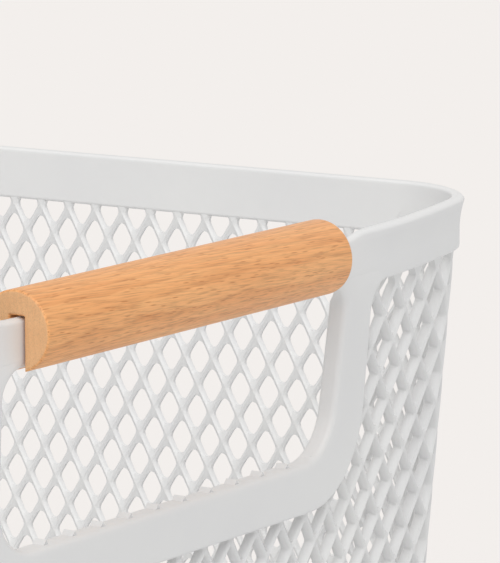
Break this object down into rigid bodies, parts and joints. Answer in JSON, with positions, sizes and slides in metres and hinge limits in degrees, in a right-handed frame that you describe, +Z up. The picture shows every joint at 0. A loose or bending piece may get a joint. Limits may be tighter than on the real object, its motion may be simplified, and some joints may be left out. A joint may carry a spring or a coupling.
{
  "type": "plastic storage basket",
  "caption": "Open tapered basket with diamond mesh walls, a smooth rim and a round wooden grip over the finger opening at each end.",
  "frame": {"origin": "on the ground under the middle of the basket, the centre of the bounding box's bottom", "axes": "+Z up, +X along the length towards the right grip, +Y across the width, along the grips"},
  "size_m": [0.416, 0.3216, 0.2097],
  "materials": {
    "moulded_plastic": "satin moulded white polypropylene",
    "beech": "turned beech, light oil",
    "screw_steel": "zinc plated"
  },
  "bodies": {
    "root": {"basket_moulding": "moulded_plastic", "wood_grip_right": "beech", "wood_grip_left": "beech", "grip_screw_right_1": "screw_steel", "grip_screw_right_2": "screw_steel", "grip_screw_left_1": "screw_steel", "grip_screw_left_2": "screw_steel"}
  },
  "joints": []
}
